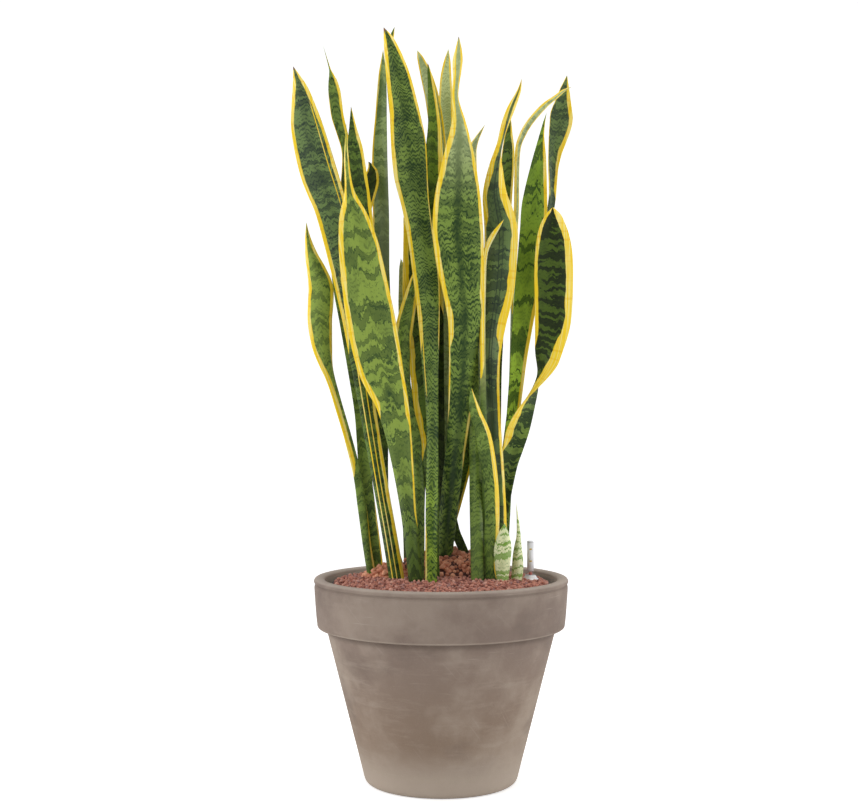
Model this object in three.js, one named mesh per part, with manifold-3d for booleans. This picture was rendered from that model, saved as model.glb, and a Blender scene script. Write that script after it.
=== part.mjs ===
// Potted snake plant in a clay planter with a water gauge.
// Millimetres, +Z up. The origin is the middle of the planter's foot, on the surface it stands on.
// The plant's best side faces -Y.

import * as THREE from 'three';
import Module from 'manifold-3d';
import { mergeVertices } from 'three/addons/utils/BufferGeometryUtils.js';

const wasm = await Module();
wasm.setup();

// Driving dimensions
const ROUND = 40;               // sides of the planter, the liner and the beds
const SMALL_ROUND = 16;         // sides of the gauge's pieces
const GAP = 0.3;                // space between pieces that touch

const POT_HEIGHT = 305;
const RIM_RADIUS = 190;
const BAND_FOOT = 231;          // height of the rim band's lower edge
const BAND_RADIUS = 185;        // at the band's lower edge
const BODY_RADIUS = 171.5;        // just under the band
const FOOT_RADIUS = 114.5;
const MOUTH_RADIUS = 172;
const FLOOR = 16;               // thickness of the planter's floor
const WALL = 12;

const LINER_WALL = 2.5;
const LINER_TOP = 296;
const LINER_RADIUS = 163;       // at its top
const LINER_FOOT_RADIUS = 100;

const CULTURE_TOP = 284;
const CULTURE_RADIUS = 123.5;   // at its rim
const CULTURE_FOOT_RADIUS = 95;
const CULTURE_WALL = 2;
const SLOT_COUNT = 12;
const SLOT_WIDTH = 5;
const SLOT_LENGTH = 70;

const BED_UNDERSIDE = 285;
const BED_RADIUS = 158;
const BED_EDGE = 294;           // height of the granules at the liner
const BED_MIDDLE = 306;

const LEAF_FOOT = 262;          // height at which leaves leave their rhizome
const RHIZOME_RADIUS = 9;

const GAUGE_X = 134.5;
const GAUGE_Y = 5;
const GAUGE_SEAT = 298.3;       // underside of the collar
const GAUGE_TOP = 358.3;
const SLEEVE_FOOT = 198;
const SLEEVE_RADIUS = 8;
const SLEEVE_BORE = 6.2;
const TUBE_RADIUS = 5;
const TUBE_BORE = 3.9;
const COLLAR_RADIUS = 13.7;
const FLOAT_RADIUS = 5.4;

const plant = new THREE.Group();

// Materials

function finish(color, roughness, metalness = 0, opacity = 1) {
  return new THREE.MeshStandardMaterial({
    color, roughness, metalness, opacity, transparent: opacity < 1,
  });
}

// Solids

function toSolid(geometry) {
  const bare = geometry.clone();
  bare.deleteAttribute('normal');
  bare.deleteAttribute('uv');
  const merged = mergeVertices(bare, 1e-3);
  return new wasm.Manifold(new wasm.Mesh({
    numProp: 3,
    vertProperties: new Float32Array(merged.attributes.position.array),
    triVerts: new Uint32Array(merged.index.array),
  }));
}

function toGeometry(solid) {
  const mesh = solid.getMesh();
  const geometry = new THREE.BufferGeometry();
  geometry.setAttribute('position', new THREE.BufferAttribute(mesh.vertProperties, 3));
  geometry.setIndex(new THREE.BufferAttribute(mesh.triVerts, 1));
  geometry.computeVertexNormals();
  return geometry;
}

function addPiece(name, geometry, material) {
  const mesh = new THREE.Mesh(geometry, material);
  mesh.name = name;
  plant.add(mesh);
  return mesh;
}

// Turns a profile of [radius, height] points about the vertical axis
function turned(profile, sides = ROUND) {
  const points = profile.map(([radius, height]) => new THREE.Vector2(radius, height));
  const geometry = new THREE.LatheGeometry(points, sides);
  return geometry.rotateX(Math.PI / 2);
}

function closedLoop(profile) {
  return [...profile, profile[0]];
}

// Planter and liner

function clayPotProfile() {
  const bead = 7;
  const lip = POT_HEIGHT - bead;
  return [
    [0, 0], [FOOT_RADIUS - 9, 0], [FOOT_RADIUS - 3, 1.5], [FOOT_RADIUS, 6],
    [BODY_RADIUS, BAND_FOOT], [BAND_RADIUS - 4, BAND_FOOT + 0.5], [BAND_RADIUS - 1, BAND_FOOT + 2.5],
    [BAND_RADIUS, BAND_FOOT + 6], [RIM_RADIUS - 0.6, lip - 5], [RIM_RADIUS - 2, lip - 2.5],
    [RIM_RADIUS - 0.3, lip], [RIM_RADIUS, lip + 3.5], [RIM_RADIUS - 2, lip + 6.8],
    [RIM_RADIUS - 6, POT_HEIGHT], [MOUTH_RADIUS + 5, POT_HEIGHT], [MOUTH_RADIUS + 1, lip + 6],
    [MOUTH_RADIUS, lip + 2], [MOUTH_RADIUS - 3, BAND_FOOT + 10],
    [BODY_RADIUS - WALL, BAND_FOOT], [FOOT_RADIUS - WALL + 3, FLOOR], [0, FLOOR],
  ];
}

function linerProfile() {
  const foot = FLOOR + GAP;
  const knee = BAND_FOOT;
  const kneeRadius = BODY_RADIUS - WALL - 1.5;
  return [
    [0, foot], [LINER_FOOT_RADIUS, foot], [kneeRadius, knee], [LINER_RADIUS, LINER_TOP],
    [LINER_RADIUS - LINER_WALL, LINER_TOP], [kneeRadius - LINER_WALL, knee],
    [LINER_FOOT_RADIUS - LINER_WALL, foot + LINER_WALL], [0, foot + LINER_WALL],
  ];
}

const linerFloor = FLOOR + GAP + LINER_WALL;
const linerKnee = BODY_RADIUS - WALL - 1.5 - LINER_WALL;

function culturePot() {
  const foot = linerFloor + GAP;
  let pot = toSolid(turned([
    [0, foot], [CULTURE_FOOT_RADIUS, foot], [CULTURE_RADIUS, CULTURE_TOP],
    [CULTURE_RADIUS - CULTURE_WALL, CULTURE_TOP],
    [CULTURE_FOOT_RADIUS - CULTURE_WALL, foot + CULTURE_WALL], [0, foot + CULTURE_WALL],
  ]));
  for (let i = 0; i < SLOT_COUNT; i += 1) {
    const slot = new THREE.BoxGeometry(40, SLOT_WIDTH, SLOT_LENGTH);
    slot.translate(CULTURE_FOOT_RADIUS + 6, 0, foot + 20 + SLOT_LENGTH / 2);
    slot.rotateZ((i + 0.5) * 2 * Math.PI / SLOT_COUNT);
    pot = pot.subtract(toSolid(slot));
  }
  return pot;
}

// Leaves

// A leaf is a cone of rings laid along its midrib. Each station holds
// [height, x, y, width, turn]: the turn is the angle in degrees from the X axis
// to the line across the blade. cup is how deep the blade is hollow, as a part of its width.
const LEAF_SIDES = 6;
const RINGS_PER_STATION = 2;
const TWISTED_RINGS = 6;        // closer rings, where half a turn is made in a short length
const FOOT_THICKNESS = 7;
const BLADE_THICKNESS = 2.6;
const THIN_ABOVE = 200;         // distance over which the foot thins into the blade

const LEAVES = {
  leaf_01: { cup: 0.1, stations: [[262, -62, -42, 20, 0], [308, -66, -40, 23, 0],
    [430, -87, -38, 22, 0], [570, -110, -34, 26, 10], [690, -127, -31, 38, 15],
    [770, -142, -28, 46, 10], [858, -164, -25, 50, 8], [908, -182, -23, 56, 0],
    [978, -200, -21, 48, 0], [1033, -210, -20, 24, 0], [1066, -220, -20, 0, 0]] },
  leaf_02: { cup: 0.1, stations: [[262, -97, 4, 14, 0], [353, -111, 2, 13, 10],
    [455, -122, 0, 17, 55], [560, -150, 2, 20, 65], [603, -163, 4, 20, 50],
    [648, -177, 8, 31, 15], [693, -183, 12, 38, 0], [742, -182, 16, 38, 0],
    [789, -196, 20, 20, 0], [818, -202, 22, 8, 0], [840, -204, 24, 0, 0]] },
  leaf_03: { cup: 0.1, stations: [[262, -35, -62, 20, 0], [305, -37, -65, 22, 0],
    [406, -48, -69, 23, 0], [510, -61, -73, 37, 0], [566, -72, -75, 49, 0],
    [614, -88, -77, 66, 0], [678, -101, -79, 72, 0], [730, -110, -81, 68, 0],
    [793, -120, -83, 59, 0], [838, -128, -85, 40, 0], [872, -133, -87, 14, 0],
    [917, -137, -88, 7, 0], [968, -137, -90, 0, 0]] },
  leaf_04: { cup: -0.1, stations: [[262, -90, 20, 16, 0], [311, -94, 20, 16, 0],
    [419, -109, 19, 18, 0], [472, -117, 18, 20, 20], [556, -121, 17, 26, 20],
    [692, -136, 15, 38, 10], [776, -147, 14, 38, 0], [861, -144, 13, 28, 18],
    [941, -143, 12, 16, 20], [994, -155, 11, 19, 0], [1031, -160, 11, 19, 0],
    [1051, -163, 11, 13, 0], [1067, -167, 11, 3, 0], [1109, -179, 10, 0, 0]] },
  leaf_05: { cup: -0.1, stations: [[262, -52, 30, 14, 0], [308, -60, 30, 14, 0],
    [340, -70, 27, 15, 0], [420, -86, 22, 16, 0], [509, -91, 16, 20, 30],
    [680, -102, 4, 32, 20], [861, -121, -9, 34, 0], [904, -125, -12, 30, 0],
    [943, -128, -15, 24, 0], [973, -131, -18, 12, 0], [1007, -134, -20, 0, 0]] },
  leaf_06: { cup: -0.1, stations: [[262, -46, 48, 12, 0], [326, -48, 47, 12, 0],
    [417, -56, 45, 13, 0], [478, -65, 44, 15, 0], [540, -74, 42, 19, 0],
    [650, -102, 38, 24, 10], [802, -118, 33, 28, 0], [858, -119, 30, 28, 0],
    [898, -107, 28, 26, 0], [918, -104, 27, 16, 0], [932, -110, 26, 0, 0]] },
  leaf_07: { cup: -0.1, stations: [[262, -50, 64, 14, 0], [320, -50, 63, 14, 0],
    [417, -55, 60, 14, 0], [500, -71, 55, 18, 10], [749, -90, 46, 25, 0], [849, -91, 41, 25, 0],
    [939, -93, 38, 24, 0], [1002, -91, 36, 18, 0], [1064, -89, 35, 12, 0],
    [1104, -88, 35, 0, 0]] },
  leaf_08: { cup: 0.1, stations: [[262, -15, -70, 18, 0], [305, -15, -70, 18, 0],
    [422, -14, -60, 18, 0], [537, -13, -45, 18, 0], [613, -16, -36, 24, 0],
    [685, -18, -28, 32, 0], [748, -22, -22, 39, 0], [801, -29, -18, 39, 0],
    [860, -38, -14, 42, 0], [904, -45, -12, 51, 0], [956, -49, -10, 53, 0],
    [1010, -56, -8, 44, 0], [1053, -64, -8, 37, 0], [1083, -71, -8, 28, 0],
    [1111, -79, -8, 15, 0], [1127, -86, -8, 0, 0]] },
  leaf_09: { cup: 0.1, stations: [[262, 0, 16, 22, 0], [321, 4, 10, 24, 0],
    [406, 12, 1, 28, 0], [474, 20, -10, 30, 10], [540, 27, -22, 34, 5],
    [606, 32, -32, 41, 10], [685, 34, -42, 49, 0], [737, 31, -48, 62, 0],
    [780, 27, -52, 73, 0], [825, 24, -56, 75, 0], [874, 24, -60, 66, 0],
    [932, 26, -64, 43, 0], [978, 26, -67, 20, 10], [1010, 21, -70, 10, 20],
    [1040, 23, -72, 12, 12], [1062, 24, -74, 15, 5], [1080, 25, -75, 9, 0],
    [1097, 25, -75, 0, 0]] },
  leaf_10: { cup: -0.1, stations: [[262, -14, 36, 18, 0], [400, -6, 36, 22, 0],
    [500, -6, 34, 24, 0], [752, -13, 30, 34, 0], [862, -13, 28, 38, 0],
    [930, -11, 26, 30, 0], [983, -10, 25, 20, 0], [1036, -14, 25, 12, 0],
    [1069, -18, 25, 5, 0], [1082, -20, 25, 0, 0]] },
  leaf_11: { cup: -0.1, stations: [[262, 8, 60, 14, 0], [600, 6, 56, 18, 0],
    [855, 2, 52, 22, 0], [965, -4, 50, 24, 0], [1031, -13, 49, 22, 0],
    [1055, -19, 48, 20, 0], [1075, -25, 48, 16, 0], [1095, -32, 48, 9, 0],
    [1106, -36, 48, 0, 0]] },
  leaf_12: { cup: -0.1, stations: [[262, 14, 76, 12, 0], [600, 12, 72, 18, 0],
    [855, 10, 68, 22, 0], [963, 8, 66, 24, 0], [1027, 8, 65, 22, 0],
    [1064, 8, 64, 18, 0], [1091, 10, 64, 11, 0], [1112, 12, 64, 0, 0]] },
  leaf_13: { cup: 0.1, stations: [[262, 53, -50, 18, 0], [303, 53, -50, 19, 0],
    [420, 52, -26, 20, 0], [520, 52, -4, 19, 0], [640, 54, 2, 16, 20],
    [760, 50, 6, 26, 0], [880, 44, 10, 26, 0], [941, 46, 11, 16, 0],
    [960, 52, 12, 9, 0], [974, 60, 12, 4, 0], [986, 67, 12, 0, 0]] },
  leaf_14: { cup: 0.1, stations: [[262, 88, -8, 20, 0], [304, 88, -8, 22, 0],
    [400, 86, -10, 24, 0], [472, 82, -12, 24, 0], [555, 76, -14, 25, 0],
    [630, 73, -15, 31, 0], [688, 78, -16, 41, 0], [731, 85, -17, 48, 0],
    [788, 89, -18, 50, 0], [829, 89, -18, 50, 0], [875, 81, -19, 38, 5],
    [917, 84, -19, 23, 25], [950, 89, -19, 12, 60], [983, 98, -19, 13, 30],
    [1006, 106, -20, 12, 10], [1030, 116, -20, 6, 0], [1048, 120, -20, 0, 0]] },
  leaf_15: { cup: 0.1, stations: [[262, 66, -14, 12, 0], [400, 70, -22, 14, 30],
    [548, 65, -30, 16, 70], [661, 63, -32, 14, 80], [747, 64, -32, 14, 80],
    [788, 67, -32, 12, 75], [811, 77, -32, 10, 60], [837, 93, -32, 0, 60]] },
  leaf_16: { cup: 0.1, stations: [[262, 72, -38, 20, 0], [305, 72, -38, 22, 0],
    [362, 74, -42, 22, 0], [403, 75, -46, 22, 0], [447, 73, -50, 22, 0],
    [494, 66, -54, 24, 0], [523, 60, -57, 22, 0], [545, 52, -59, 18, 0],
    [567, 46, -61, 12, 0], [590, 43, -62, 0, 0]] },
  leaf_17: { cup: -0.1, stations: [[262, -8, 52, 14, 0], [320, -2, 50, 18, 0],
    [372, 8, 46, 24, 0], [472, 34, 42, 26, 0], [560, 46, 40, 24, 0],
    [640, 52, 38, 16, 0], [690, 54, 38, 0, 0]] },
  leaf_18: { cup: -0.1, stations: [[262, 30, 26, 12, 0], [308, 42, 28, 14, 0],
    [342, 34, 28, 14, 0], [371, 22, 28, 14, 0], [420, 14, 28, 14, 0],
    [500, 17, 26, 14, 0], [546, 22, 24, 12, 0], [590, 24, 22, 0, 0]] },
  leaf_19: { cup: -0.1, stations: [[262, 94, 26, 12, 0], [400, 86, 24, 13, 0],
    [600, 84, 24, 16, 0], [700, 87, 24, 20, 0], [802, 92, 24, 24, 0],
    [878, 97, 24, 22, 0], [913, 100, 24, 21, 0], [946, 102, 24, 19, 0],
    [971, 103, 24, 12, 0], [999, 106, 23, 0, 0]] },
  leaf_20: { cup: -0.1, stations: [[262, 92, 56, 14, 0], [308, 95, 56, 14, 0],
    [450, 102, 57, 14, 20], [600, 108, 58, 14, 50], [804, 112, 58, 12, 68],
    [870, 115, 58, 12, 68], [939, 116, 58, 12, 66], [962, 118, 58, 12, 60],
    [979, 124, 58, 13, 50], [995, 133, 58, 13, 45], [1010, 145, 58, 12, 40],
    [1026, 161, 58, 10, 35], [1038, 178, 58, 7, 30], [1046, 188, 58, 5, 30],
    [1052, 202, 58, 0, 30]] },
  leaf_21: { cup: -0.1, stations: [[262, 74, 76, 14, 0], [308, 80, 78, 14, 0],
    [452, 96, 82, 14, 20], [606, 115, 84, 16, 40], [747, 142, 84, 18, 50],
    [875, 170, 84, 15, 50], [929, 173, 84, 18, 25], [956, 177, 84, 23, 10],
    [980, 183, 84, 31, 0], [1001, 187, 84, 36, 0], [1016, 188, 84, 35, 0],
    [1037, 191, 84, 23, 0], [1053, 193, 84, 15, 0], [1076, 197, 84, 0, 0]] },
  leaf_22: { cup: 0.1, rings: TWISTED_RINGS, stations: [[262, 90, 12, 16, -180],
    [308, 91, 12, 18, -180], [400, 93, 10, 18, -180], [473, 102, 8, 26, -175],
    [502, 108, 5, 33, -168], [527, 114, 2, 38, -158], [562, 126, -4, 38, -130],
    [590, 139, -8, 35, -95], [623, 153, -11, 40, -42], [643, 159, -13, 43, -15],
    [688, 167, -15, 55, 0], [755, 168, -17, 59, 0], [792, 168, -18, 56, 0],
    [822, 167, -18, 45, 0], [845, 167, -18, 25, 0], [857, 166, -18, 0, 0]] },
  leaf_23: { cup: -0.1, stations: [[262, 80, 36, 16, 0], [308, 86, 38, 16, 0],
    [422, 97, 40, 18, 0], [536, 109, 40, 20, 0], [636, 119, 40, 26, 0],
    [704, 127, 40, 34, 0], [764, 134, 40, 39, 0], [834, 141, 40, 41, 0],
    [870, 143, 40, 39, 0], [918, 148, 40, 27, 0], [944, 151, 40, 19, 0],
    [973, 154, 40, 8, 0], [995, 158, 40, 3, 0], [1010, 162, 40, 0, 0]] },
  leaf_24: { cup: -0.1, stations: [[262, -34, 60, 12, 0], [500, -30, 54, 16, 0],
    [750, -26, 48, 20, 0], [850, -44, 38, 22, 0], [950, -60, 26, 22, 0],
    [1061, -74, 22, 18, 0], [1109, -76, 20, 10, 0], [1124, -73, 20, 5, 0],
    [1135, -70, 20, 0, 0]] },
  leaf_25: { cup: 0.1, stations: [[262, -30, -40, 12, 0], [303, -32, -40, 14, 0],
    [495, -36, -26, 18, 0], [600, -58, -14, 24, 0], [650, -58, -10, 26, 0],
    [690, -53, -8, 26, 0], [740, -42, -6, 16, 0], [780, -34, -5, 0, 0]] },
  leaf_26: { cup: -0.1, stations: [[262, -44, 8, 12, 0], [500, -50, 20, 14, 0],
    [702, -57, 32, 15, 0], [769, -59, 32, 9, 0], [786, -61, 32, 0, 0]] },
  leaf_27: { cup: -0.1, stations: [[262, -6, -30, 12, 0], [350, -10, -28, 14, 0],
    [472, -15, -20, 24, 0], [560, -25, -10, 32, 0], [645, -31, 4, 38, 0],
    [700, -39, 14, 36, 0], [762, -44, 18, 28, 0], [817, -50, 20, 14, 0],
    [847, -57, 20, 0, 0]] },
  pup_01: { cup: 0.1, stations: [[262, 88, -50, 12, 0], [307, 90, -50, 18, 0],
    [342, 90, -50, 26, 0], [360, 91, -50, 24, 0], [378, 92, -50, 12, 0],
    [389, 93, -50, 0, 0]] },
  pup_02: { cup: 0.1, stations: [[262, 104, -24, 10, 0], [310, 113, -24, 17, 0],
    [335, 114, -24, 16, 0], [350, 114, -24, 12, 0], [366, 115, -24, 7, 0],
    [388, 114, -24, 4, 0], [420, 111, -24, 0, 0]] },
};

// Offsets of a ring's six points: [across, through], with the hollow added by the caller
function ringPoint(angle, halfWidth, thickness, hollow) {
  const across = Math.cos(angle);
  const through = Math.sin(angle);
  const u = Math.abs(through) < 0.1 ? across : 0.9 * across;
  return [u * halfWidth, through * thickness * 0.58 + hollow * u * u];
}

function leafGeometry({ cup, stations, rings = RINGS_PER_STATION }, grow = 0) {
  const deeper = grow * 8;
  const steps = (stations.length - 1) * rings;
  const midrib = new THREE.CatmullRomCurve3(
    stations.map(([z, x, y]) => new THREE.Vector3(x, y, z)));
  const blade = new THREE.CatmullRomCurve3(
    stations.map(([, , , width, turn]) => new THREE.Vector3(width, turn, 0)),
    false, 'catmullrom', 0.5);
  const footSlope = midrib.getPoint(1 / steps).sub(midrib.getPoint(0)).normalize();
  const cone = new THREE.ConeGeometry(1, 1, LEAF_SIDES, steps);
  const place = cone.attributes.position;
  for (let i = 0; i < place.count; i += 1) {
    const t = THREE.MathUtils.clamp(place.getY(i) + 0.5, 0, 1);
    const centre = midrib.getPoint(t);
    if (t === 0) {
      centre.addScaledVector(footSlope, -deeper);
    }
    const onCentre = Math.hypot(place.getX(i), place.getZ(i)) < 1e-4;
    if (!onCentre) {
      const tangent = midrib.getTangent(t);
      const shape = blade.getPoint(t);
      const width = Math.max(shape.x, 1.2);
      const turn = THREE.MathUtils.degToRad(shape.y);
      const side = new THREE.Vector3(Math.cos(turn), Math.sin(turn), 0);
      if (t === 0) {
        tangent.set(0, 0, 1);
      }
      side.addScaledVector(tangent, -side.dot(tangent)).normalize();
      const normal = new THREE.Vector3().crossVectors(tangent, side);
      const rise = THREE.MathUtils.clamp((centre.z - LEAF_FOOT) / THIN_ABOVE, 0, 1);
      const full = THREE.MathUtils.lerp(FOOT_THICKNESS, BLADE_THICKNESS, rise);
      const thickness = Math.min(full, width * 0.5) + 2 * grow;
      const angle = Math.atan2(place.getX(i), place.getZ(i));
      const [across, through] = ringPoint(angle, width / 2 + grow, thickness, width * cup);
      centre.addScaledVector(side, across).addScaledVector(normal, through);
    }
    place.setXYZ(i, centre.x, centre.y, centre.z);
  }
  return cone;
}

// Rhizomes

const RHIZOMES = {
  rhizome_1: [[-90, 26], [-97, 4], [-80, -22], [-60, -46]],
  rhizome_2: [[-46, 40], [-48, 56], [-34, 68]],
  rhizome_3: [[-38, -60], [-20, -62], [-8, -48], [-5, -28]],
  rhizome_4: [[-46, 6], [-24, 34], [-8, 54], [16, 78]],
  rhizome_5: [[0, 10], [30, 26], [52, 4], [66, -16]],
  rhizome_6: [[52, -52], [72, -40], [92, -52]],
  rhizome_7: [[104, -26], [88, -6], [82, 34], [74, 78]],
};

function rhizomeGeometry(route, radius, longer = 0) {
  const height = LEAF_FOOT - GAP - RHIZOME_RADIUS;
  const points = route.map(([x, y]) => new THREE.Vector3(x, y, height));
  const [first, second] = points;
  const [beforeLast, last] = points.slice(-2);
  first.addScaledVector(first.clone().sub(second).normalize(), longer);
  last.addScaledVector(last.clone().sub(beforeLast).normalize(), longer);
  const path = new THREE.CatmullRomCurve3(points);
  const section = new THREE.Shape();
  const sides = 8;
  for (let i = 0; i < sides; i += 1) {
    const angle = (i + 0.5) * 2 * Math.PI / sides;
    const point = [radius * Math.cos(angle), radius * Math.sin(angle)];
    if (i === 0) {
      section.moveTo(...point);
    } else {
      section.lineTo(...point);
    }
  }
  section.closePath();
  return new THREE.ExtrudeGeometry(section, { steps: 5, extrudePath: path, bevelEnabled: false });
}

// Beds of pebbles and granules

function moundSolid(grow) {
  const lobes = [[14, 34, 292, 92, 58, 50], [-72, 22, 290, 44, 46, 24]];
  const solids = lobes.map(([x, y, z, alongX, alongY, tall]) => {
    const lobe = new THREE.SphereGeometry(1, 16, 8);
    lobe.rotateX(Math.PI / 2);
    lobe.scale(alongX + grow, alongY + grow, tall + grow);
    lobe.translate(x, y, z);
    return toSolid(lobe);
  });
  return solids.reduce((joined, lobe) => joined.add(lobe));
}

function pebbleBed() {
  const foot = linerFloor + GAP + CULTURE_WALL + GAP;
  const inset = CULTURE_WALL + 2 * GAP;
  const top = BED_UNDERSIDE - GAP;
  return toSolid(turned([
    [0, foot], [CULTURE_FOOT_RADIUS - inset, foot], [CULTURE_RADIUS - inset, CULTURE_TOP],
    [CULTURE_RADIUS - inset, top], [0, top],
  ])).add(moundSolid(0));
}

function pebbleRing() {
  const foot = linerFloor + GAP;
  const knee = BAND_FOOT;
  const inset = 2 * GAP;
  return toSolid(turned(closedLoop([
    [CULTURE_FOOT_RADIUS + inset, foot + 4], [linerKnee - inset, knee],
    [BED_RADIUS, BED_UNDERSIDE - GAP], [CULTURE_RADIUS + inset, BED_UNDERSIDE - GAP],
    [CULTURE_FOOT_RADIUS + inset + 1, foot + 12],
  ])));
}

function granuleBed() {
  return toSolid(turned([
    [0, BED_UNDERSIDE], [BED_RADIUS, BED_UNDERSIDE], [BED_RADIUS, BED_EDGE],
    [BED_RADIUS - 8, BED_EDGE + 3], [125, BED_EDGE + 7], [105, BED_MIDDLE - 1], [60, BED_MIDDLE],
    [0, BED_MIDDLE],
  ])).subtract(moundSolid(GAP));
}

// Water gauge

function gaugeTurned(profile) {
  return turned(profile, SMALL_ROUND).translate(GAUGE_X, GAUGE_Y, 0);
}

function sleeveHole() {
  return gaugeTurned([
    [0, SLEEVE_FOOT - 2 * GAP], [SLEEVE_RADIUS + 2 * GAP, SLEEVE_FOOT - 2 * GAP],
    [SLEEVE_RADIUS + 2 * GAP, GAUGE_SEAT + 30], [0, GAUGE_SEAT + 30],
  ]);
}

function collarSeat() {
  return gaugeTurned([
    [0, GAUGE_SEAT - GAP], [COLLAR_RADIUS + 1.5, GAUGE_SEAT - GAP],
    [COLLAR_RADIUS + 1.5, GAUGE_SEAT + 30], [0, GAUGE_SEAT + 30],
  ]);
}

function gaugeSleeve() {
  const top = GAUGE_SEAT - GAP;
  const slot = new THREE.BoxGeometry(40, 3, 50).translate(GAUGE_X, GAUGE_Y, SLEEVE_FOOT + 30);
  return toSolid(gaugeTurned([
    [0, SLEEVE_FOOT], [SLEEVE_RADIUS, SLEEVE_FOOT], [SLEEVE_RADIUS, top], [SLEEVE_BORE, top],
    [SLEEVE_BORE, SLEEVE_FOOT + 2], [0, SLEEVE_FOOT + 2],
  ])).subtract(toSolid(slot));
}

function gaugeCollar() {
  const ledge = GAUGE_SEAT + 2;
  return gaugeTurned(closedLoop([
    [3.2, GAUGE_SEAT], [COLLAR_RADIUS, GAUGE_SEAT], [COLLAR_RADIUS, GAUGE_SEAT + 1.8],
    [COLLAR_RADIUS - 1.4, GAUGE_SEAT + 2.6], [TUBE_RADIUS + 2.4, GAUGE_SEAT + 9],
    [TUBE_RADIUS + GAP, GAUGE_SEAT + 9], [TUBE_RADIUS + GAP, ledge], [3.2, ledge],
  ]));
}

const tubeFoot = GAUGE_SEAT + 2 + GAP;
const tubeTop = GAUGE_TOP - 2.8;

function gaugeTube() {
  return gaugeTurned(closedLoop([
    [TUBE_BORE, tubeFoot], [TUBE_RADIUS, tubeFoot], [TUBE_RADIUS, tubeTop], [TUBE_BORE, tubeTop],
  ]));
}

function gaugeCap() {
  const lip = tubeTop + GAP;
  return gaugeTurned([
    [0, lip - 4], [TUBE_BORE - GAP, lip - 4], [TUBE_BORE - GAP, lip], [TUBE_RADIUS + 0.2, lip],
    [TUBE_RADIUS + 0.2, GAUGE_TOP - 1], [TUBE_RADIUS - 1.2, GAUGE_TOP], [0, GAUGE_TOP],
  ]);
}

function gaugeFloat() {
  const foot = SLEEVE_FOOT + 2 + GAP;
  return gaugeTurned([
    [0, foot], [FLOAT_RADIUS, foot], [FLOAT_RADIUS, foot + 34], [1, foot + 37], [1, 303.5],
    [2.6, 304], [2.6, 311], [0, 311.6],
  ]);
}

// Assembly

const clay = finish(0x8c7e72, 0.85);
const blackPlastic = finish(0x1a1a1b, 0.5);
const pebble = finish(0xa5694f, 0.9);
const granule = finish(0x965546, 0.95);
const leafGreen = finish(0x5f8237, 0.45);
const pupGreen = finish(0xd6dfbb, 0.5);
const rhizomeSkin = finish(0xc39a5b, 0.7);
const clearPlastic = finish(0xdfe6ea, 0.15, 0, 0.4);
const floatRed = finish(0xc8281e, 0.4);

const leafNames = Object.keys(LEAVES);
const leafHoles = leafNames.map((name) => toSolid(leafGeometry(LEAVES[name], GAP + 0.1)));
const rhizomeNames = Object.keys(RHIZOMES);
const rhizomeHoles = rhizomeNames.map(
  (name) => toSolid(rhizomeGeometry(RHIZOMES[name], RHIZOME_RADIUS + GAP, GAP)));

function cutAll(solid, tools) {
  return tools.reduce((left, tool) => left.subtract(tool), solid);
}

addPiece('clay_pot', turned(clayPotProfile()), clay);
addPiece('liner', turned(linerProfile()), blackPlastic);
addPiece('culture_pot', toGeometry(culturePot()), blackPlastic);
addPiece('pebble_ring',
  toGeometry(pebbleRing().subtract(toSolid(sleeveHole()))), pebble);
addPiece('pebble_bed',
  toGeometry(cutAll(pebbleBed(), [...leafHoles, ...rhizomeHoles])), pebble);
addPiece('granule_bed',
  toGeometry(cutAll(granuleBed(),
    [...leafHoles, toSolid(sleeveHole()), toSolid(collarSeat())])), granule);
rhizomeNames.forEach((name) => {
  addPiece(name, rhizomeGeometry(RHIZOMES[name], RHIZOME_RADIUS), rhizomeSkin);
});
leafNames.forEach((name) => {
  addPiece(name, leafGeometry(LEAVES[name]), name.startsWith('pup') ? pupGreen : leafGreen);
});
addPiece('gauge_sleeve', toGeometry(gaugeSleeve()), blackPlastic);
addPiece('gauge_collar', gaugeCollar(), clearPlastic);
addPiece('gauge_tube', gaugeTube(), clearPlastic);
addPiece('gauge_cap', gaugeCap(), clearPlastic);
addPiece('gauge_float', gaugeFloat(), floatRed);

export default plant;
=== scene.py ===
import math
import random

import bmesh
import bpy
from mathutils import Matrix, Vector, noise


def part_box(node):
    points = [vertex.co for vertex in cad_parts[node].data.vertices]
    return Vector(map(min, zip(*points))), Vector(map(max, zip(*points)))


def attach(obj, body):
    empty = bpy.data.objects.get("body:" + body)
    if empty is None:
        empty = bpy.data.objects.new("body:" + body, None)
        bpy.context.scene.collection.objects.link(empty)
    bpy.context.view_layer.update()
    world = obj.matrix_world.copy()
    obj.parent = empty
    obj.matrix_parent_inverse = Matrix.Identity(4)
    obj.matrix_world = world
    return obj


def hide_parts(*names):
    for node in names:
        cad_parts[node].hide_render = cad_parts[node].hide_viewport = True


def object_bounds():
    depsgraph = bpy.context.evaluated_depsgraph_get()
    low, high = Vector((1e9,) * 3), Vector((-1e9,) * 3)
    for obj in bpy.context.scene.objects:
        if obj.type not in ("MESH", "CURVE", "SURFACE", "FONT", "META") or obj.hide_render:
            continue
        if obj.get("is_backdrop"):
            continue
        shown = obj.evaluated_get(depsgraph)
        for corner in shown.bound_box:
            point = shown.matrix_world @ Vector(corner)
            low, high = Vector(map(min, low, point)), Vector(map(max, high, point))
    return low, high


bl_info = {
    "name": "Potted snake plant",
    "version": (1, 0, 0),
    "blender": (4, 5, 0),
    "location": "3D View > Sidebar > Snake plant",
    "description": "Leaves, planter, beds and water gauge of a potted snake plant",
    "category": "Add Mesh",
}

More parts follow.
